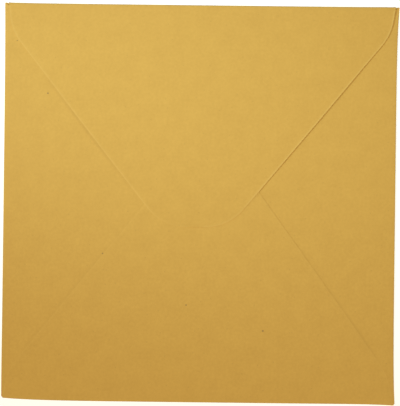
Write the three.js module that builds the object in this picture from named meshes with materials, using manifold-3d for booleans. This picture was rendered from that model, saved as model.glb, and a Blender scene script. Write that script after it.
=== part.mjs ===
// A square paper envelope, closed and empty, lying on its front with the flap side up.
// It is one die-cut sheet: a front panel with four flaps. The side flaps fold in first, the bottom flap is
// gummed over them along two diagonal seams, and the pointed top flap folds down over all three, not stuck.
// Millimetres, +Z up. +Y runs towards the top fold, and the origin is the middle of the face it lies on.
import * as THREE from "three";
import { mergeVertices } from "three/addons/utils/BufferGeometryUtils.js";
import Module from "manifold-3d";

const wasm = await Module();
wasm.setup();

// The closed envelope, over its folds
const WIDTH = 155;
const HEIGHT = 156;

// The sheet and how its layers lie
const PAPER = 0.15; // thickness of 120 g/m2 paper
const POCKET_GAP = 0.25; // between the front and a side flap, inside the fold
const SEAM_BITE = 0.03; // how far the two gummed layers press into each other
const FLAP_GAP = 0.25; // air between the bottom flap and the loose top flap
const BULGE = 1.2; // rise of the springy back over the pocket, at its middle

// Top flap. A depth runs from the fold to the tip of the rounded nose, and an offset moves the nose along
// the fold, to the right as seen with that fold at the bottom.
const TOP_DEPTH = 87;
const TOP_NOSE_RADIUS = 20;
const TOP_NOSE_FLAT = 7; // straight run at the tip, between the two rounded corners of the nose
const TOP_OFFSET = 1.5;
const TOP_SHOULDER = 10.4; // from the fold to the corner where the slanting edge starts
const TOP_SHOULDER_INSET = 1; // how far that corner stands in from the end of the fold
const TOP_RELIEF = 1.3; // how far the fold stops short of each end, so that the shut flap clears the side folds

// Bottom flap
const BOTTOM_DEPTH = 95.8;
const BOTTOM_NOSE_RADIUS = 20;
const BOTTOM_OFFSET = 3.2;
const BOTTOM_SHOULDER = 10.6;

// Side flaps
const SIDE_NOSE_SPACING = 12; // between the two noses, which all but meet in the middle
const SIDE_NOSE_RADIUS = 20;
const SIDE_SHOULDER = 3;

// The side and bottom flaps
const SHOULDER_INSET = 1.6; // how far a shoulder corner stands in from the end of its fold
const CORNER_RELIEF = 0.2; // how far a fold stops short of each end, so that two folds don't tear the corner

// All four flaps
const SHOULDER_EASE = 6; // length over which a shoulder corner is rounded, along each of its two edges

// Fineness of the surface
const FOLD_SEGMENTS = 6; // flats round the half turn of a fold
const NOSE_SEGMENTS = 12; // flats round a nose or a shoulder
const FACET = 20; // most that a flat facet of the bulge measures along either side
const MARGIN = 5; // how far a cutting shape runs past what it cuts, and a fold into the panel
const SNAP = 1e-5; // points are rounded to this, so that faces which share a plane do so exactly

// Clear space inside each fold, from the inner layer to the outer one
const sideGap = POCKET_GAP;
const bottomGap = sideGap + PAPER - SEAM_BITE;
const topGap = bottomGap + PAPER + FLAP_GAP;
const foldRadius = (gap) => gap / 2 + PAPER; // outside of the fold

// The flat front panel, between the lines where the folds start
const panel = new THREE.Box2(
  new THREE.Vector2(-WIDTH / 2 + foldRadius(sideGap), -HEIGHT / 2 + foldRadius(bottomGap)),
  new THREE.Vector2(WIDTH / 2 - foldRadius(sideGap), HEIGHT / 2 - foldRadius(topGap)),
);
const panelSize = panel.getSize(new THREE.Vector2());
const panelCentre = panel.getCenter(new THREE.Vector2());

const sideFlap = {
  gap: sideGap,
  foldLength: panelSize.y - 2 * CORNER_RELIEF,
  fromCentre: panelSize.x / 2,
  depth: (panelSize.x - SIDE_NOSE_SPACING) / 2,
  noseRadius: SIDE_NOSE_RADIUS,
  noseFlat: 0,
  offset: 0,
  shoulder: SIDE_SHOULDER,
  inset: SHOULDER_INSET,
};
const bottomFlap = {
  gap: bottomGap,
  foldLength: panelSize.x - 2 * CORNER_RELIEF,
  fromCentre: panelSize.y / 2,
  depth: BOTTOM_DEPTH,
  noseRadius: BOTTOM_NOSE_RADIUS,
  noseFlat: 0,
  offset: BOTTOM_OFFSET,
  shoulder: BOTTOM_SHOULDER,
  inset: SHOULDER_INSET,
};
const topFlap = {
  gap: topGap,
  foldLength: panelSize.x - 2 * TOP_RELIEF,
  fromCentre: panelSize.y / 2,
  depth: TOP_DEPTH,
  noseRadius: TOP_NOSE_RADIUS,
  noseFlat: TOP_NOSE_FLAT,
  offset: TOP_OFFSET,
  shoulder: TOP_SHOULDER,
  inset: TOP_SHOULDER_INSET,
};

// A closed geometry as a solid that can be joined and cut, its points snapped
function solidOf(geometry) {
  const bare = geometry.clone();
  bare.deleteAttribute("normal");
  bare.deleteAttribute("uv");
  const merged = mergeVertices(bare);
  return new wasm.Manifold(
    new wasm.Mesh({
      numProp: 3,
      vertProperties: merged.attributes.position.array.map((value) => Math.round(value / SNAP) * SNAP),
      triVerts: merged.index.array,
    }),
  );
}

// The straight edge from a shoulder corner to where it touches the nose circle, on its left or right
function touchPoint(corner, noseCentre, noseRadius, side) {
  const toCentre = noseCentre.clone().sub(corner);
  const length = Math.sqrt(toCentre.lengthSq() - noseRadius ** 2);
  const angle = toCentre.angle() - side * Math.asin(noseRadius / toCentre.length());
  return new THREE.Vector2(Math.cos(angle), Math.sin(angle)).multiplyScalar(length).add(corner);
}

// Outline of a flap: x along its fold, y inwards from the fold. It runs on past the fold by the margin.
function flapOutline(flap) {
  const half = flap.foldLength / 2;
  const [right, left] = [1, -1].map((side) => {
    const noseX = flap.offset + (side * flap.noseFlat) / 2;
    const noseCentre = new THREE.Vector2(noseX, flap.depth - flap.noseRadius);
    const foldEnd = new THREE.Vector2(side * half, 0);
    const corner = new THREE.Vector2(side * (half - flap.inset), flap.shoulder);
    const touch = touchPoint(corner, noseCentre, flap.noseRadius, side);
    const towards = (end) => {
      const reach = Math.min(SHOULDER_EASE, corner.distanceTo(end) / 2);
      return end.clone().sub(corner).setLength(reach).add(corner);
    };
    const angle = touch.clone().sub(noseCentre).angle();
    return { noseCentre, foldEnd, corner, easeFold: towards(foldEnd), easeEdge: towards(touch), angle };
  });
  const outline = new THREE.Shape();
  outline.moveTo(-half, -MARGIN);
  outline.lineTo(half, -MARGIN);
  outline.lineTo(right.foldEnd.x, right.foldEnd.y);
  outline.lineTo(right.easeFold.x, right.easeFold.y);
  outline.quadraticCurveTo(right.corner.x, right.corner.y, right.easeEdge.x, right.easeEdge.y);
  outline.absarc(right.noseCentre.x, right.noseCentre.y, flap.noseRadius, right.angle, Math.PI / 2, false);
  outline.absarc(left.noseCentre.x, left.noseCentre.y, flap.noseRadius, Math.PI / 2, left.angle, false);
  outline.lineTo(left.easeEdge.x, left.easeEdge.y);
  outline.quadraticCurveTo(left.corner.x, left.corner.y, left.easeFold.x, left.easeFold.y);
  outline.lineTo(left.foldEnd.x, left.foldEnd.y);
  outline.closePath();
  return outline;
}

// Section across a fold: a rim of the panel, the half turn of the fold and an uncut flap.
// x runs inwards and y up.
function foldSection(flap) {
  const middle = PAPER + flap.gap / 2;
  const outer = foldRadius(flap.gap);
  const flapLength = flap.depth + MARGIN / 2;
  const facets = Math.ceil(flapLength / FACET);
  const stations = Array.from({ length: facets }, (_, i) => ((i + 1) * flapLength) / facets);
  const section = new THREE.Shape();
  section.moveTo(MARGIN, 0);
  section.lineTo(MARGIN, PAPER);
  section.lineTo(0, PAPER);
  section.absarc(0, middle, outer - PAPER, -Math.PI / 2, Math.PI / 2, true);
  stations.forEach((x) => section.lineTo(x, middle + outer - PAPER));
  stations.reverse().forEach((x) => section.lineTo(x, middle + outer));
  section.lineTo(0, middle + outer);
  section.absarc(0, middle, outer, Math.PI / 2, -Math.PI / 2, false);
  section.closePath();
  return section;
}

// Rise of the back: highest over the middle of the pocket and nothing at the folds
function bulge(x, y) {
  const across = 1 - ((x - panelCentre.x) / (panelSize.x / 2)) ** 2;
  const along = 1 - ((y - panelCentre.y) / (panelSize.y / 2)) ** 2;
  return BULGE * Math.max(0, across) * Math.max(0, along);
}

// Lifts the part of a sheet that lies above a height, by the bulge
function lift(geometry, above) {
  const position = geometry.attributes.position;
  for (let i = 0; i < position.count; i++) {
    const z = position.getZ(i);
    if (z > above) position.setZ(i, z + bulge(position.getX(i), position.getY(i)));
  }
}

// One flap with its fold, cut to its outline and turned to its side of the panel: no turn is the bottom,
// then a quarter turn each to the right, the top and the left
function foldedFlap(flap, quarterTurns) {
  const angle = (quarterTurns * Math.PI) / 2;
  const outward = new THREE.Vector2(Math.sin(angle), -Math.cos(angle));
  const foldMiddle = outward.multiplyScalar(flap.fromCentre).add(panelCentre);
  const place = new THREE.Matrix4().makeRotationZ(angle).setPosition(foldMiddle.x, foldMiddle.y, 0);

  const wrap = new THREE.ExtrudeGeometry(foldSection(flap), {
    depth: flap.foldLength,
    steps: Math.ceil(flap.foldLength / FACET),
    bevelEnabled: false,
    curveSegments: FOLD_SEGMENTS,
  });
  const [alongX, alongY, alongZ] = [0, 1, 2].map((i) => new THREE.Vector3().setComponent(i, 1));
  wrap.applyMatrix4(new THREE.Matrix4().makeBasis(alongY, alongZ, alongX));
  wrap.translate(-flap.foldLength / 2, 0, 0);
  wrap.applyMatrix4(place);
  const insideFold = PAPER + flap.gap / 2;
  lift(wrap, insideFold);

  const cutHeight = flap.gap / 2 + PAPER + BULGE + MARGIN;
  const kept = new THREE.ExtrudeGeometry(flapOutline(flap), {
    depth: cutHeight + 2 * MARGIN,
    bevelEnabled: false,
    curveSegments: NOSE_SEGMENTS,
  });
  kept.translate(0, 0, insideFold - MARGIN);
  kept.applyMatrix4(place);
  const blankDepth = flap.depth + MARGIN;
  const blank = new THREE.BoxGeometry(flap.foldLength + 2 * MARGIN, blankDepth, cutHeight);
  blank.translate(0, blankDepth / 2, insideFold + cutHeight / 2);
  blank.applyMatrix4(place);
  return solidOf(wrap).subtract(solidOf(blank).subtract(solidOf(kept)));
}

// A solid's surface as a geometry
function surfaceOf(solid) {
  const mesh = solid.getMesh();
  const surface = new THREE.BufferGeometry();
  surface.setAttribute("position", new THREE.BufferAttribute(mesh.vertProperties, mesh.numProp));
  surface.setIndex(new THREE.BufferAttribute(mesh.triVerts, 1));
  surface.computeVertexNormals();
  return surface;
}

// The front panel
const front = new THREE.BoxGeometry(panelSize.x, panelSize.y, PAPER);
front.translate(panelCentre.x, panelCentre.y, PAPER / 2);

// The gummed sheet: four flaps folded from one panel, and the bottom flap bites into the side flaps
const sheet = solidOf(front)
  .add(foldedFlap(bottomFlap, 0))
  .add(foldedFlap(sideFlap, 1))
  .add(foldedFlap(topFlap, 2))
  .add(foldedFlap(sideFlap, 3));

const yellowPaper = new THREE.MeshStandardMaterial({
  name: "yellow_paper",
  color: 0xd9b058,
  roughness: 0.85,
  metalness: 0,
});

const envelope = new THREE.Group();
const foldedSheet = new THREE.Mesh(surfaceOf(sheet), yellowPaper);
foldedSheet.name = "envelope_sheet";
envelope.add(foldedSheet);

export default envelope;
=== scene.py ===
# %% [markdown]
# # A square yellow envelope, flap side up
# This lesson dresses a plain model of a closed paper envelope. The real thing is one die-cut sheet of deep
# yellow paper: a front panel and four flaps. Two side flaps fold in, a bottom flap is gummed over them along
# two diagonal seams, and a round-nosed top flap lies shut over all three. We fold the same sheet in code,
# give it a paper finish, and photograph it from straight above.

import math
from types import SimpleNamespace

import bpy
import numpy as np
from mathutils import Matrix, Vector


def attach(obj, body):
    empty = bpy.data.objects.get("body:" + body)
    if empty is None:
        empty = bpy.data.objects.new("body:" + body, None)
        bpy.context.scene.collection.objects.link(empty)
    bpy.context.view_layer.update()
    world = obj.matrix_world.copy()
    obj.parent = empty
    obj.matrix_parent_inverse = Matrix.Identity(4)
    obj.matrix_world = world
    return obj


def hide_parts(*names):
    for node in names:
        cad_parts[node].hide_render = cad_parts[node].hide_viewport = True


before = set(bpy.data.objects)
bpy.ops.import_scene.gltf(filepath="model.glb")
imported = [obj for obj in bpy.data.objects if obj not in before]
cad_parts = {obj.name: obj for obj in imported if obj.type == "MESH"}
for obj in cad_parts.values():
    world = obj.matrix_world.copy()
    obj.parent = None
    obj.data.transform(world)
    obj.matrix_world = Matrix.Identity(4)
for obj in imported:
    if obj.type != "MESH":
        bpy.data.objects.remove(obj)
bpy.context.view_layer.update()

# %% [markdown]
# ## Sizes
# A folded sheet is ruled by how its layers stack. Each fold has a clear space inside it that just takes the
# layers it wraps: the side folds hold only air, the bottom fold goes round the side flaps as well, and the
# top fold goes round everything. Working outwards from the thinnest gap keeps all layers in order.

# %% Sizes of the closed envelope and its layers, in metres
MM = 0.001
WIDTH, HEIGHT = 155 * MM, 156 * MM
PAPER = 0.15 * MM
POCKET_GAP = 0.25 * MM
GUM = 0.01 * MM
FLAP_GAP = 0.25 * MM

side_gap = POCKET_GAP
bottom_gap = side_gap + PAPER + GUM
top_gap = bottom_gap + PAPER + FLAP_GAP


def fold_radius(gap):
    """Outside of a fold round a clear gap."""
    return gap / 2 + PAPER


panel_low = np.array([-WIDTH / 2 + fold_radius(side_gap), -HEIGHT / 2 + fold_radius(bottom_gap)])
panel_high = np.array([WIDTH / 2 - fold_radius(side_gap), HEIGHT / 2 - fold_radius(top_gap)])
panel_size, panel_centre = panel_high - panel_low, (panel_low + panel_high) / 2
print("front panel, mm:", (panel_size / MM).round(2))

# %% [markdown]
# ## The four flaps
# Every flap has the same family outline: it leaves the fold almost square, turns at a soft shoulder, runs
# straight along a slant and ends in a round nose. Only the numbers differ, so one record per flap will do.
# A quarter turn says which side of the panel the flap belongs to: bottom, right, top, left. A relief is how
# far a fold stops short of the panel's corners, so that the paper doesn't tear there.

# %% One record for each flap
NOSE_RADIUS = 20  # these four in millimetres
SIDE_NOSE_SPACING = 12
CORNER_RELIEF, SHOULDER_INSET = 0.2, 1.6


def flap(name, turns, gap, shoulder, depth, relief=CORNER_RELIEF, inset=SHOULDER_INSET, tip=0, offset=0):
    """A flap in millimetres: its shoulder, its depth to the tip, the flat of the tip, and where that sits."""
    fold = panel_size[turns % 2] - 2 * relief * MM
    reach = panel_size[1 - turns % 2] / 2
    sizes = {"inset": inset, "shoulder": shoulder, "depth": depth, "tip": tip, "offset": offset}
    sizes = {size: value * MM for size, value in sizes.items()}
    return SimpleNamespace(
        name=name, turns=turns, gap=gap, fold=fold, reach=reach, nose=NOSE_RADIUS * MM, **sizes
    )


side_depth = (panel_size[0] / MM - SIDE_NOSE_SPACING) / 2
bottom = flap("bottom", 0, bottom_gap, shoulder=10.6, depth=95.8, offset=3.2)
right = flap("right", 1, side_gap, shoulder=3, depth=side_depth)
top = flap("top", 2, top_gap, shoulder=10.4, depth=87, relief=1.3, inset=1, tip=7, offset=1.5)
left = flap("left", 3, side_gap, shoulder=3, depth=side_depth)
flaps = [bottom, right, top, left]
print("flap depths, mm:", {f.name: round(f.depth / MM, 1) for f in flaps})

# %% [markdown]
# ## The cut line of a flap
# The die cuts a curve, and we need it twice: to place the vertices exactly on the cut, and later to find how
# far any spot is from a cut edge. A polyline per half outline serves both. The slant is the tangent from the
# shoulder corner to the nose circle, so the edge runs into the nose without a kink.

# %% Half outlines of a flap
SHOULDER_EASE = 6 * MM
SHOULDER_POINTS, NOSE_POINTS = 12, 60


def cut_lines(f):
    """The two half outlines, as points (along the fold, in from the fold): end, shoulder, nose."""
    lines = []
    for side in (-1, 1):
        centre = np.array([f.offset + side * f.tip / 2, f.depth - f.nose])
        end = np.array([side * f.fold / 2, 0.0])
        corner = np.array([side * (f.fold / 2 - f.inset), f.shoulder])
        away = centre - corner
        span = math.hypot(*away)
        angle = math.atan2(away[1], away[0]) - side * math.asin(f.nose / span)
        touch = corner + math.sqrt(span**2 - f.nose**2) * np.array([math.cos(angle), math.sin(angle)])
        eased = [corner + (p - corner) * min(SHOULDER_EASE / math.dist(corner, p), 0.5) for p in (end, touch)]
        t = np.linspace(0, 1, SHOULDER_POINTS)[:, None]
        shoulder = (1 - t) ** 2 * eased[0] + 2 * t * (1 - t) * corner + t**2 * eased[1]
        start = math.atan2(touch[1] - centre[1], touch[0] - centre[0])
        sweep = np.linspace(start, math.pi / 2, NOSE_POINTS)[:, None]
        nose = centre + f.nose * np.hstack([np.cos(sweep), np.sin(sweep)])
        lines.append(np.vstack([end, shoulder, nose]))
    return lines


for f in flaps:
    f.lines = cut_lines(f)
print("points of a half outline:", len(top.lines[0]))

# %% Rows of vertices down a flap
ROW_STEP = 1.4 * MM
NOSE_ROWS = 24
NOSE_TURN, TIP_TURN = 45, 1.2  # degrees round the nose from its tip, at the first row and the last


def rows_of(f):
    """Depths of the rows of vertices: even down the slant, then closer together round the nose."""
    turns = np.radians(np.linspace(NOSE_TURN, TIP_TURN, NOSE_ROWS))
    nose = f.depth - f.nose * (1 - np.cos(turns))
    slant = np.linspace(0, nose[0], int(nose[0] / ROW_STEP))
    return np.concatenate([slant, nose[1:]])


for f in flaps:
    f.rows = rows_of(f)
print("rows of vertices:", {f.name: len(f.rows) for f in flaps})

# %% [markdown]
# ## How the layers lie
# Paper springs a little, so the back rises over the empty pocket like a very flat pillow. The layers also
# feel what lies under them: the bottom flap sinks where the side flaps end below it, and the top flap, which
# leaves its fold well above them all, settles at its shoulders, its middle and its nose. These heights are
# tiny, but they draw soft shadow lines along the edges, and painted shadow lines in the finish add to them.

# %% The pillow and its waviness
BULGE = 1.2 * MM
RIPPLES, RIPPLE_HEIGHT, RIPPLE_FADE = 7, 0.02 * MM, 25 * MM


def smooth(value):
    """Zero below 0, one above 1, and an S-curve between."""
    t = np.clip(value, 0, 1)
    return t * t * (3 - 2 * t)


def pillow(x, y):
    """Rise of the back over the pocket: nothing at the folds, most in the middle."""
    u = (x - panel_centre[0]) / (panel_size[0] / 2)
    v = (y - panel_centre[1]) / (panel_size[1] / 2)
    return BULGE * np.clip(1 - u * u, 0, 1) * np.clip(1 - v * v, 0, 1)


rng = np.random.default_rng(12)
ripples = [
    (rng.uniform(0, 2 * math.pi), rng.uniform(0, 2 * math.pi), rng.uniform(34, 80) * MM, rng.uniform(0.5, 1))
    for _ in range(RIPPLES)
]


def cockle(x, y):
    """The slight waviness of a sheet that has lain about, faded out towards the folds."""
    from_sides = panel_size[0] / 2 - abs(x - panel_centre[0])
    from_ends = panel_size[1] / 2 - abs(y - panel_centre[1])
    wave = sum(
        size * np.sin(2 * math.pi * (x * math.cos(way) + y * math.sin(way)) / length + phase)
        for way, phase, length, size in ripples
    )
    return RIPPLE_HEIGHT * wave * smooth(np.minimum(from_sides, from_ends) / RIPPLE_FADE)


print("rise at the middle, mm:", round((pillow(0, 0) + cockle(0, 0)) / MM, 3))

# %% Places on a flap
def fold_line(f):
    """The middle of a flap's fold, and the cosine and sine of the flap's turn."""
    turn = f.turns * math.pi / 2
    cos, sin = math.cos(turn), math.sin(turn)
    return panel_centre + f.reach * np.array([sin, -cos]), cos, sin


def to_envelope(f, s, d):
    """From a flap's own directions, along the fold and in from it, to the envelope's x and y."""
    middle, cos, sin = fold_line(f)
    return middle[0] + s * cos - d * sin, middle[1] + s * sin + d * cos


def from_envelope(f, x, y):
    """The way back."""
    middle, cos, sin = fold_line(f)
    dx, dy = x - middle[0], y - middle[1]
    return dx * cos + dy * sin, -dx * sin + dy * cos


print("tip of the top flap, mm:", (np.array(to_envelope(top, top.offset, top.depth)) / MM).round(2))

# %% Distance from the cuts
def distance(points, line):
    """How far each point is from a polyline."""
    a, b = line[:-1], line[1:]
    step = b - a
    share = ((points[:, None] - a) * step).sum(2) / np.maximum((step**2).sum(1), 1e-18)
    nearest = a + np.clip(share, 0, 1)[..., None] * step
    return np.linalg.norm(points[:, None] - nearest, axis=2).min(1)


def from_cuts(f, s, d):
    """How far places on a flap, or beside it, are from its cut edge."""
    places = np.column_stack([s, d])
    return np.minimum(distance(places, f.lines[0]), distance(places, f.lines[1]))


def row_ends(f, d):
    """Where a row at some depth meets the two half outlines."""
    return [np.interp(d, line[:, 1], line[:, 0]) for line in f.lines]


def inside(f, x, y):
    """Signed distance inside a flap's outline, positive under it."""
    s, d = from_envelope(f, x, y)
    low, high = row_ends(f, d)
    within = (s > low) & (s < high) & (d > 0) & (d < f.depth)
    reach = from_cuts(f, s, d)
    return np.where(within, reach, -reach)


origin = np.zeros(1)
depths = {f.name: round(inside(f, origin, origin).item() / MM, 1) for f in flaps}
print("middle of the envelope inside each flap, mm:", depths)

# %% How far each flap settles
SIDE_STEP, SIDE_STEP_RUN = 0.12 * MM, 5 * MM
SHOULDER_SINK, MIDDLE_SINK, NOSE_SINK = 0.2 * MM, 0.2 * MM, 0.04 * MM


def ramp(value, start, length):
    """An S-curve from 0 to 1 that begins at some value and takes a length, both in millimetres."""
    return smooth((value - start * MM) / (length * MM))


def sinks(f, x, y):
    """How far one flap lies below the common shape of the back."""
    if f is bottom:
        on_sides = np.maximum(inside(left, x, y), inside(right, x, y))
        return SIDE_STEP * smooth(-on_sides / SIDE_STEP_RUN)
    if f is top:
        s, d = from_envelope(f, x, y)
        shoulders = SHOULDER_SINK * ramp(abs(s), 56, 18) * ramp(d, 0, 9)
        return shoulders + MIDDLE_SINK * ramp(d, 3, 40) + NOSE_SINK * ramp(d, 55, 20)
    return 0 * x


print("sink at the top flap's tip, mm:", round(sinks(top, *to_envelope(top, top.offset, top.depth)) / MM, 3))

# %% [markdown]
# ## Folding the sheet
# Blender could bend a flat mesh with modifiers, but a fold this small is easier to write down: a row of
# vertices runs round a half circle whose radius comes from the fold's gap, and goes on over the panel at
# the height of its layer. The five patches share their vertices along the folds, so the result is one
# unbroken sheet, as on the real envelope. Rows and columns crowd together near the cuts to keep them crisp,
# and the cut edges carry a number that says how pale they are painted, partly as rubbed wear and partly as
# painted highlight.

# %% Columns of vertices
RIM = np.array([0, 0.15, 0.45, 0.9]) * MM
EVEN_COLUMNS = 90
NARROW = 20 * MM


def columns(low, high):
    """Places of the vertices across a row: a few close to each cut edge, and the rest even."""
    width = high - low
    rim = RIM * min(1, width / NARROW)
    even = np.linspace(rim[-1], width - rim[-1], EVEN_COLUMNS)
    return low + np.concatenate([rim[:-1], even, width - rim[-2::-1]])


def panel_places(f, middle):
    """Places along one side of the panel: its two corners and the columns of its fold."""
    half = panel_size[f.turns % 2] / 2
    return middle + np.concatenate([[-half], columns(-f.fold / 2, f.fold / 2), [half]])


xs_low, xs_high = panel_places(bottom, panel_centre[0]), panel_places(top, panel_centre[0])
ys = panel_places(right, panel_centre[1])
print("columns and rows of the panel:", len(xs_low), len(ys))

# %% The front panel
points, blank, rims, faces = [], [], [], []


def add_vertices(x, y, z, flat_x, flat_y, rim):
    """Adds a row of vertices with their places on the flat sheet, and returns their numbers."""
    start = len(points)
    size = np.broadcast_shapes(np.shape(x), np.shape(y), np.shape(z))
    spread = [np.broadcast_to(v, size) for v in (x, y, z, flat_x, flat_y, rim)]
    points.extend(zip(*spread[:3]))
    blank.extend(zip(*spread[3:5]))
    rims.extend(spread[5])
    return list(range(start, len(points)))


grid = []
for y in ys:
    share = (y - ys[0]) / (ys[-1] - ys[0])
    xs = (1 - share) * xs_low + share * xs_high
    grid.append(add_vertices(xs, y, PAPER / 2, xs, y, 0))
for lower, upper in zip(grid[:-1], grid[1:]):
    faces.extend(zip(lower[:-1], upper[:-1], upper[1:], lower[1:]))
borders = {
    "bottom": grid[0][1:-1],
    "right": [row[-1] for row in grid[1:-1]],
    "top": grid[-1][-2:0:-1],
    "left": [row[0] for row in grid[-2:0:-1]],
}
print("panel vertices:", len(points))

# %% Pale cut edges: rubbed wear and painted highlight
# How pale each cut edge is painted, partly as rubbed wear and partly as painted highlight. On the right half
# of the nose it also paints light over a thin shadow line.
GUMMED_WEAR_AND_HIGHLIGHT = 0.2
RIGHT_SLANT_WEAR_AND_HIGHLIGHT, RIGHT_NOSE_WEAR_AND_HIGHLIGHT = 1, 0.5
LEFT_SLANT_WEAR_AND_HIGHLIGHT, LEFT_NOSE_WEAR_AND_HIGHLIGHT = 0.6, 0.15


def blend(first, second, share):
    """The first value at a share of 0, and the second at 1."""
    return first + (second - first) * share


def wear_and_highlight(f, s, d):
    """How pale a cut edge is painted, as rubbed wear and painted highlight: most on the loose flap's right
    slant, and little on the gummed flaps.
    """
    if f is not top:
        return GUMMED_WEAR_AND_HIGHLIGHT
    from_tip = d - f.depth
    right_edge = blend(RIGHT_SLANT_WEAR_AND_HIGHLIGHT, RIGHT_NOSE_WEAR_AND_HIGHLIGHT, ramp(from_tip, -14, 8))
    left_edge = blend(LEFT_SLANT_WEAR_AND_HIGHLIGHT, LEFT_NOSE_WEAR_AND_HIGHLIGHT, ramp(from_tip, -9, 9))
    return blend(left_edge, right_edge, ramp(f.offset - s, -5, 10))


print("rub at the top flap's tip:", round(wear_and_highlight(top, top.offset, top.depth), 3))

# %% The folds and flaps
FOLD_ROWS = 12
PRESSED_SHARE, PRESSED_LENGTH = 0.5, 5 * MM


def stands_out(f, s, radius):
    """How far a fold reaches past the panel. The two ends of the top fold are pressed flatter."""
    if f is not top:
        return radius
    return radius * (1 - PRESSED_SHARE * smooth(1 - (f.fold / 2 - abs(s)) / PRESSED_LENGTH))


for f in flaps:
    radius = (f.gap + PAPER) / 2
    centre_height = PAPER + f.gap / 2
    f.fold_length = math.pi * radius
    rows = [borders[f.name]]
    s = columns(-f.fold / 2, f.fold / 2)
    for turn in np.linspace(0, math.pi, FOLD_ROWS + 1)[1:]:
        x, y = to_envelope(f, s, -stands_out(f, s, radius) * math.sin(turn))
        z = centre_height - radius * math.cos(turn)
        rows.append(add_vertices(x, y, z, *to_envelope(f, s, -radius * turn), 0))
    for d in f.rows[1:]:
        s = columns(*row_ends(f, d))
        x, y = to_envelope(f, s, d)
        z = centre_height + radius + pillow(x, y) + cockle(x, y) - sinks(f, x, y)
        # The pale rim along the cut edges: partly rubbed wear, partly painted highlight.
        rim_wear_and_highlight = smooth(1 - from_cuts(f, s, np.full_like(s, d)) / RIM[-1]) * wear_and_highlight(f, s, d)
        rows.append(add_vertices(x, y, z, *to_envelope(f, s, -f.fold_length - d), rim_wear_and_highlight))
    for upper, lower in zip(rows[:-1], rows[1:]):
        faces.extend(zip(upper[:-1], upper[1:], lower[1:], lower[:-1]))
print("sheet vertices and faces:", len(points), len(faces))

# %% [markdown]
# ## Slightly out of true
# No folded sheet is a perfect rectangle. On this one the side folds and the top fold draw in a little between
# the corners, the bottom fold bows out, the corners at the top and on the right stand proud, and the one at
# the bottom left draws in. A smooth shift of the points near each fold does it for all layers at once, so
# nothing comes apart.

# %% Shift the folds
points = np.array(points)
u, v = points[:, 0] / (WIDTH / 2), points[:, 1] / (HEIGHT / 2)
SHIFT_STARTS = 0.58  # share of the way from the middle to a fold
BOW_POWER = 5  # how evenly a fold bows between its ends: more is flatter


def near(side):
    """One at a fold, fading to nothing some way in."""
    return smooth((side - SHIFT_STARTS) / (1 - SHIFT_STARTS))


def drift(place, low, middle, high, end_power=10):
    """Shift of one fold in metres, from millimetres at its low end, its middle and its high end.

    A higher end power keeps the shift of an end closer to its corner.
    """
    ends = np.where(place < 0, low, high) * np.minimum(abs(place), 1) ** end_power
    return MM * (ends + middle * (1 - abs(place) ** BOW_POWER).clip(0))


left_shift = drift(v, low=0.3, middle=0.3, high=0)
right_shift = drift(v, low=0.3, middle=-0.45, high=0.5)
top_shift = drift(u, low=0.78, middle=-0.15, high=0.6, end_power=32)
bottom_shift = drift(u, low=0.4, middle=-0.54, high=-0.9, end_power=8)
points[:, 0] += near(-u) * left_shift + near(u) * right_shift
points[:, 1] += near(v) * top_shift + near(-v) * bottom_shift
print("widest and highest, mm:", (np.ptp(points[:, :2], axis=0) / MM).round(2))

# %% [markdown]
# ## Giving the sheet its thickness
# A Solidify modifier turns the folded surface into real paper, half of its thickness to each side, and caps
# the cut edges. It is applied at once, so the exported mesh is the paper itself. The flat layout of the
# sheet goes along as a UV map, which lets the paper's fibres run on round the folds, and the pale rim along
# the cut edges, partly rubbed wear and partly painted highlight, goes along as an attribute.

# %% The folded surface
surface = bpy.data.meshes.new("folded_sheet")
surface.from_pydata(points.tolist(), [], faces)
corner_vertex = np.empty(len(surface.loops), dtype=np.int32)
surface.loops.foreach_get("vertex_index", corner_vertex)
flat_map = surface.uv_layers.new(name="flat_sheet")
flat_map.uv.foreach_set("vector", np.array(blank, dtype=np.float32)[corner_vertex].ravel())
# The pale rim goes along as an attribute: partly rubbed wear, partly painted highlight.
worn_and_highlit_rim = surface.attributes.new("worn_and_highlit_rim", "FLOAT", "POINT")
worn_and_highlit_rim.data.foreach_set("value", np.array(rims, dtype=np.float32))
print("folded surface faces:", len(surface.polygons))

# %% The paper mesh
SHARP_ANGLE = math.radians(35)
envelope = bpy.data.objects.new("envelope_paper", surface)
bpy.context.scene.collection.objects.link(envelope)
thickness = envelope.modifiers.new("thickness", "SOLIDIFY")
thickness.thickness, thickness.offset, thickness.use_even_offset = PAPER, 0, True
bpy.context.view_layer.update()
seen = envelope.evaluated_get(bpy.context.evaluated_depsgraph_get())
paper_mesh = bpy.data.meshes.new_from_object(seen)
envelope.modifiers.clear()
envelope.data = paper_mesh
paper_mesh.polygons.foreach_set("use_smooth", [True] * len(paper_mesh.polygons))
paper_mesh.set_sharp_from_angle(angle=SHARP_ANGLE)
print("paper mesh faces:", len(paper_mesh.polygons))

# %% [markdown]
# ## Sums of sockets
# A paper finish is mostly arithmetic on noise. Wrapping a node socket in a small class lets us write that
# arithmetic as plain Python, and each sign adds the Math node that it stands for. The board is a wire
# without a socket, which starts off the nodes of the paper.

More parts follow.
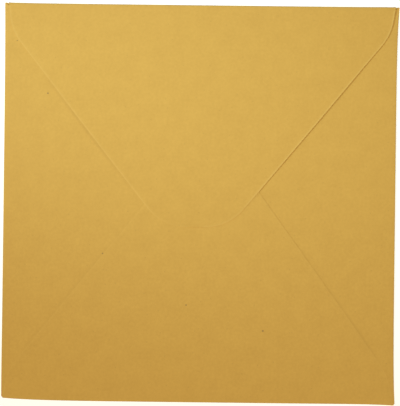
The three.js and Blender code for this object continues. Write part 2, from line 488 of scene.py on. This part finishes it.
# %% A socket that can stand in a sum
class Wire:
    """One output socket. Sums of wires and numbers add Math nodes to its tree."""

    def __init__(self, tree, socket=None):
        self.tree, self.socket = tree, socket

    def node(self, kind, settings=(), sockets=(), out=0):
        """Adds a node: its settings first, then the values or links of its sockets."""
        made = self.tree.nodes.new("ShaderNode" + kind)
        for name, value in dict(settings).items():
            setattr(made, name, value)
        for name, value in dict(sockets).items():
            if isinstance(value, Wire):
                self.tree.links.new(value.socket, made.inputs[name])
            else:
                made.inputs[name].default_value = value
        return Wire(self.tree, made.outputs[out] if made.outputs else None)

    def math(self, operation, *values):
        return self.node("Math", {"operation": operation}, enumerate(values))

    def __add__(self, other):
        return self.math("ADD", self, other)

    def __sub__(self, other):
        return self.math("SUBTRACT", self, other)

    def __rsub__(self, other):
        return self.math("SUBTRACT", other, self)

    def __mul__(self, other):
        return self.math("MULTIPLY", self, other)

    __radd__, __rmul__ = __add__, __mul__

    def between(self, low, high):
        """Zero at low, one at high, with a smooth run between. Low may be the larger."""
        values = {"Value": self, "From Min": low, "From Max": high}
        return self.node("MapRange", {"interpolation_type": "SMOOTHSTEP"}, values)

    def mix(self, first, second):
        """This wire as the share of the second colour over the first."""
        return self.node("Mix", {"data_type": "RGBA"}, {0: self, 6: first, 7: second}, out=2)


paper = bpy.data.materials.new("yellow_paper")
paper.use_nodes = True
tree = paper.node_tree
tree.nodes.clear()
board = Wire(tree)
print("an empty board for the material", paper.name)

# %% [markdown]
# ## The paper finish
# Coloured paper is dyed all through, so its colour hardly changes, but it isn't flat either. Pulp settles in
# faint clouds a few millimetres wide, single fibres show as fine hairs, and a few dark specks of other pulp
# are pressed in. Cut edges are painted pale, partly as rubbed wear and partly as a painted highlight, and
# painted shadow lines lie beside each edge that stands over another layer. All of it is worked out on the
# flat sheet, in millimetres.

# %% Clouds, grain and fibres
HAIR_STRETCH = (0.35, 3.2, 1)
flat_metres = board.node("UVMap", {"uv_map": "flat_sheet"})
flat_mm = board.node("VectorMath", {"operation": "SCALE"}, {0: flat_metres, "Scale": 1000})


def noise(where, scale, detail=3, roughness=0.5):
    """A value near one half that wanders with the place, scale in turns per millimetre."""
    values = {"Vector": where, "Scale": scale, "Detail": detail, "Roughness": roughness}
    return board.node("TexNoise", {"noise_dimensions": "2D"}, values)


def fibres(angle, seed):
    """Fine hairs that lie mostly along one direction."""
    turn = {"Vector": flat_mm, "Angle": math.radians(angle)}
    turned = board.node("VectorRotate", {"rotation_type": "Z_AXIS"}, turn)
    stretch = {0: turned, 1: HAIR_STRETCH, 2: (seed, 0, 0)}
    drawn_out = board.node("VectorMath", {"operation": "MULTIPLY_ADD"}, stretch)
    return noise(drawn_out, 0.9, detail=2).between(0.58, 0.74)


clouds = noise(flat_mm, 0.16, detail=4)
mottle = noise(flat_mm, 0.9, detail=2)
grain = noise(flat_mm, 4.5, detail=2, roughness=0.6)
hairs = fibres(20, seed=3) + fibres(-35, seed=11) + fibres(80, seed=23)
print("paper nodes so far:", len(tree.nodes))

# %% Flecks and specks
flecks_apart = {"Vector": flat_mm, "Scale": 0.11}
from_fleck = board.node("TexVoronoi", {"voronoi_dimensions": "2D"}, flecks_apart, out="Distance")
flecks = from_fleck.between(0.035, 0.02)


def flat_place(f, x, y):
    """Where a spot on a flap of the closed envelope lies on the flat sheet, in millimetres."""
    s, d = from_envelope(f, x, y)
    return np.array(to_envelope(f, s, -f.fold_length - d)) / MM


def speck(f, x, y, size):
    """A dark speck at a place on one flap of the closed envelope, all in millimetres."""
    spot = (*flat_place(f, x * MM, y * MM).tolist(), 0)
    gap = board.node("VectorMath", {"operation": "DISTANCE"}, {0: flat_mm, 1: spot}, out="Value")
    return gap.between(size, 0.4 * size)


specks = (
    speck(left, -60.3, 42.5, size=0.45)
    + speck(left, -72.7, 63.1, size=0.3)
    + speck(left, -37.9, -20.3, size=0.4)
    + speck(bottom, 25.5, -50.0, size=0.5)
    + speck(bottom, -4.8, -40.2, size=0.4)
)
print("paper nodes so far:", len(tree.nodes))

# %% Painted shadow lines beside the edges
SHADOW_STARTS, SHADOW_FULL, SHADOW_FADES, SHADOW_ENDS = -0.3, 0.3, 0.4, 1.5  # millimetres out from the edge
SLANT_OVERRUN = 3  # millimetres past each end of the slant


def painted_shadow_line(under, over, side, peak):
    """A faint painted shadow line on a flap, just outside the slant of the flap over it, most at a share of
    its length.
    """
    slant = over.lines[side][SHOULDER_POINTS : SHOULDER_POINTS + 2]
    start, end = (flat_place(under, *to_envelope(over, *point)) for point in slant)
    middle = flat_place(under, *to_envelope(over, over.offset, over.depth / 2))
    length = math.dist(start, end)
    along = (end - start) / length
    out = np.array([along[1], -along[0]])
    out *= -np.sign(out @ (middle - start))

    def run(way):
        values = {0: flat_mm, 1: (*way.tolist(), 0)}
        reach = board.node("VectorMath", {"operation": "DOT_PRODUCT"}, values, out="Value")
        return reach - float(start @ way)

    beside, down_slant = run(out), run(along)
    rises = down_slant.between(-SLANT_OVERRUN, peak * length)
    falls = down_slant.between(length + SLANT_OVERRUN, peak * length)
    return beside.between(SHADOW_STARTS, SHADOW_FULL) * beside.between(SHADOW_ENDS, SHADOW_FADES) * (rises * falls)


LOW, HIGH = 0, 1
# Painted shadow: faint dark lines beside the edges that stand over another layer, each with its own weight.
painted_shadows = (
    painted_shadow_line(right, bottom, HIGH, peak=0.08) * 0.07
    + painted_shadow_line(left, bottom, LOW, peak=0.3) * 0.05
    + painted_shadow_line(right, top, LOW, peak=0.3) * 0.12
    + painted_shadow_line(bottom, top, LOW, peak=0.9) * 0.12
    + painted_shadow_line(left, top, HIGH, peak=0.55) * 0.21
)
print("paper nodes so far:", len(tree.nodes))

# %% Colour
DEEP, PALE = (0.52, 0.297, 0.056, 1), (0.60, 0.355, 0.073, 1)
FLECK, SPECK = (0.42, 0.24, 0.055, 1), (0.2, 0.12, 0.05, 1)
# The first colour here paints shadow beside raised edges. The second is the pale rim, partly rubbed wear and
# partly painted highlight.
PAINTED_SHADOW, WORN_AND_HIGHLIT = (0.30, 0.16, 0.03, 1), (0.72, 0.49, 0.15, 1)
rim = board.node("Attribute", {"attribute_name": "worn_and_highlit_rim"}, out="Fac")
shade = 0.5 + (clouds - 0.5) * 0.6 + (mottle - 0.5) * 0.75 + (grain - 0.5) * 0.32 + hairs * 0.09
dyed = shade.mix(DEEP, PALE)
flecked = (flecks * 0.35).mix(dyed, FLECK)
specked = (specks * 0.75).mix(flecked, SPECK)
# Painted shadow lines darken the paper beside raised edges. The pale rim, partly rubbed wear and partly
# painted highlight, goes over all.
with_painted_shadows = painted_shadows.mix(specked, PAINTED_SHADOW)
colour = (rim * 0.38).mix(with_painted_shadows, WORN_AND_HIGHLIT)
print("paper nodes so far:", len(tree.nodes))

# %% Relief and shader
RELIEF_DEPTH = 0.06 * MM
relief = grain * 0.3 + mottle * 0.35 + hairs * 0.15
bump = board.node("Bump", (), {"Strength": 0.35, "Distance": RELIEF_DEPTH, "Height": relief})
roughness = 0.72 + (grain - 0.5) * 0.12
finish = {"Base Color": colour, "Roughness": roughness, "Normal": bump, "Specular IOR Level": 0.4}
shader = board.node("BsdfPrincipled", (), finish)
board.node("OutputMaterial", (), {"Surface": shader})
paper_mesh.materials.append(paper)
print("paper finish nodes:", len(tree.nodes))

# %% [markdown]
# ## Studio
# The photograph was taken from straight above. Cool light comes from the left, as from a window, because the
# edges that face right throw thin shadows and those that face left none, and it falls mostly on the upper
# half. Warm light from a ceiling fills in. A pale floor and two soft lamps give the same, and the camera has
# a long lens, so that the square stays square.

# %% Floor
FLOOR_REACH, FLOOR_DROP = 8, 0.01 * MM
corners = [(x * FLOOR_REACH, y * FLOOR_REACH, 0) for x, y in ((-1, -1), (1, -1), (1, 1), (-1, 1))]
floor_mesh = bpy.data.meshes.new("floor")
floor_mesh.from_pydata(corners, [], [(0, 1, 2, 3)])
floor = bpy.data.objects.new("floor", floor_mesh)
floor.location.z = -FLOOR_DROP
bpy.context.scene.collection.objects.link(floor)
pale = bpy.data.materials.new("pale_floor")
pale.use_nodes = True
pale_sockets = pale.node_tree.nodes["Principled BSDF"].inputs
pale_sockets["Base Color"].default_value = (0.6, 0.6, 0.6, 1)
pale_sockets["Roughness"].default_value = 0.9
pale_sockets["Emission Color"].default_value = (1, 1, 1, 1)
pale_sockets["Emission Strength"].default_value = 0.5
pale.cycles.emission_sampling = "NONE"
floor_mesh.materials.append(pale)
print("floor, m across:", 2 * FLOOR_REACH)

# %% Light
def lamp(name, kind, place, aim, watts, colour, **settings):
    """A lamp at a place, turned to a point."""
    data = bpy.data.lights.new(name, kind)
    data.energy, data.color = watts, colour
    for setting, value in settings.items():
        setattr(data, setting, value)
    made = bpy.data.objects.new(name, data)
    made.location = place
    made.rotation_euler = (Vector(aim) - Vector(place)).to_track_quat("-Z", "Y").to_euler()
    bpy.context.scene.collection.objects.link(made)
    print("lamp:", name, watts, "W")


COOL, WARM = (0.64, 0.88, 0.985), (1, 0.908, 0.636)
cone = {"spot_size": math.radians(12.5), "spot_blend": 1, "shadow_soft_size": 0.06}
lamp("window", "SPOT", (-0.95, 0.25, 0.70), (-0.015, 0.064, 0), 55.5, COOL, **cone)
lamp("ceiling", "AREA", (-0.05, -0.15, 0.90), (0, 0, 0), 8.07, WARM, shape="DISK", size=0.8)

world = bpy.data.worlds.new("surround")
bpy.context.scene.world = world
world.use_nodes = True
world_sockets = world.node_tree.nodes["Background"].inputs
world_sockets["Color"].default_value = (1, 0.9, 0.8, 1)
world_sockets["Strength"].default_value = 0.08
bpy.context.scene.view_settings.view_transform = "Standard"

# %% Camera
IMAGE_WIDTH, PIXELS_PER_MM = 400, 2.542
BACK_HEIGHT = 1.2 * MM  # where the number of pixels to a millimetre holds
SIDE_SHIFT, TURN = 0.2 * MM, math.radians(0.68)
camera_data = bpy.data.cameras.new("camera")
camera_data.sensor_fit, camera_data.sensor_width, camera_data.lens = "HORIZONTAL", 36, 150
camera_data.clip_start = 0.01
view_width = IMAGE_WIDTH / PIXELS_PER_MM * MM
camera = bpy.data.objects.new("camera", camera_data)
camera.location = (SIDE_SHIFT, 0, view_width * camera_data.lens / camera_data.sensor_width + BACK_HEIGHT)
camera.rotation_euler = (0, 0, TURN)
bpy.context.scene.collection.objects.link(camera)
bpy.context.scene.camera = camera
print("camera height, m:", round(camera.location.z, 3))

# %% [markdown]
# ## Handing over
# The paper stands in for the plain sheet of the model. Its flat size is that of the die-cut blank, and its
# area is the panel, the folds and the flaps, added up face by face on the flat layout.

flat = np.array(blank)
flat_size = np.ptp(flat, axis=0)
quads = flat[np.array(faces)]
one, other = quads[:, 2] - quads[:, 0], quads[:, 3] - quads[:, 1]  # the two diagonals of each face
flat_area = abs(one[:, 0] * other[:, 1] - one[:, 1] * other[:, 0]).sum() / 2
print("blank, mm:", (flat_size / MM).round(1), "area, cm2:", round(flat_area * 1e4, 1))
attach(envelope, "root")
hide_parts("envelope_sheet")
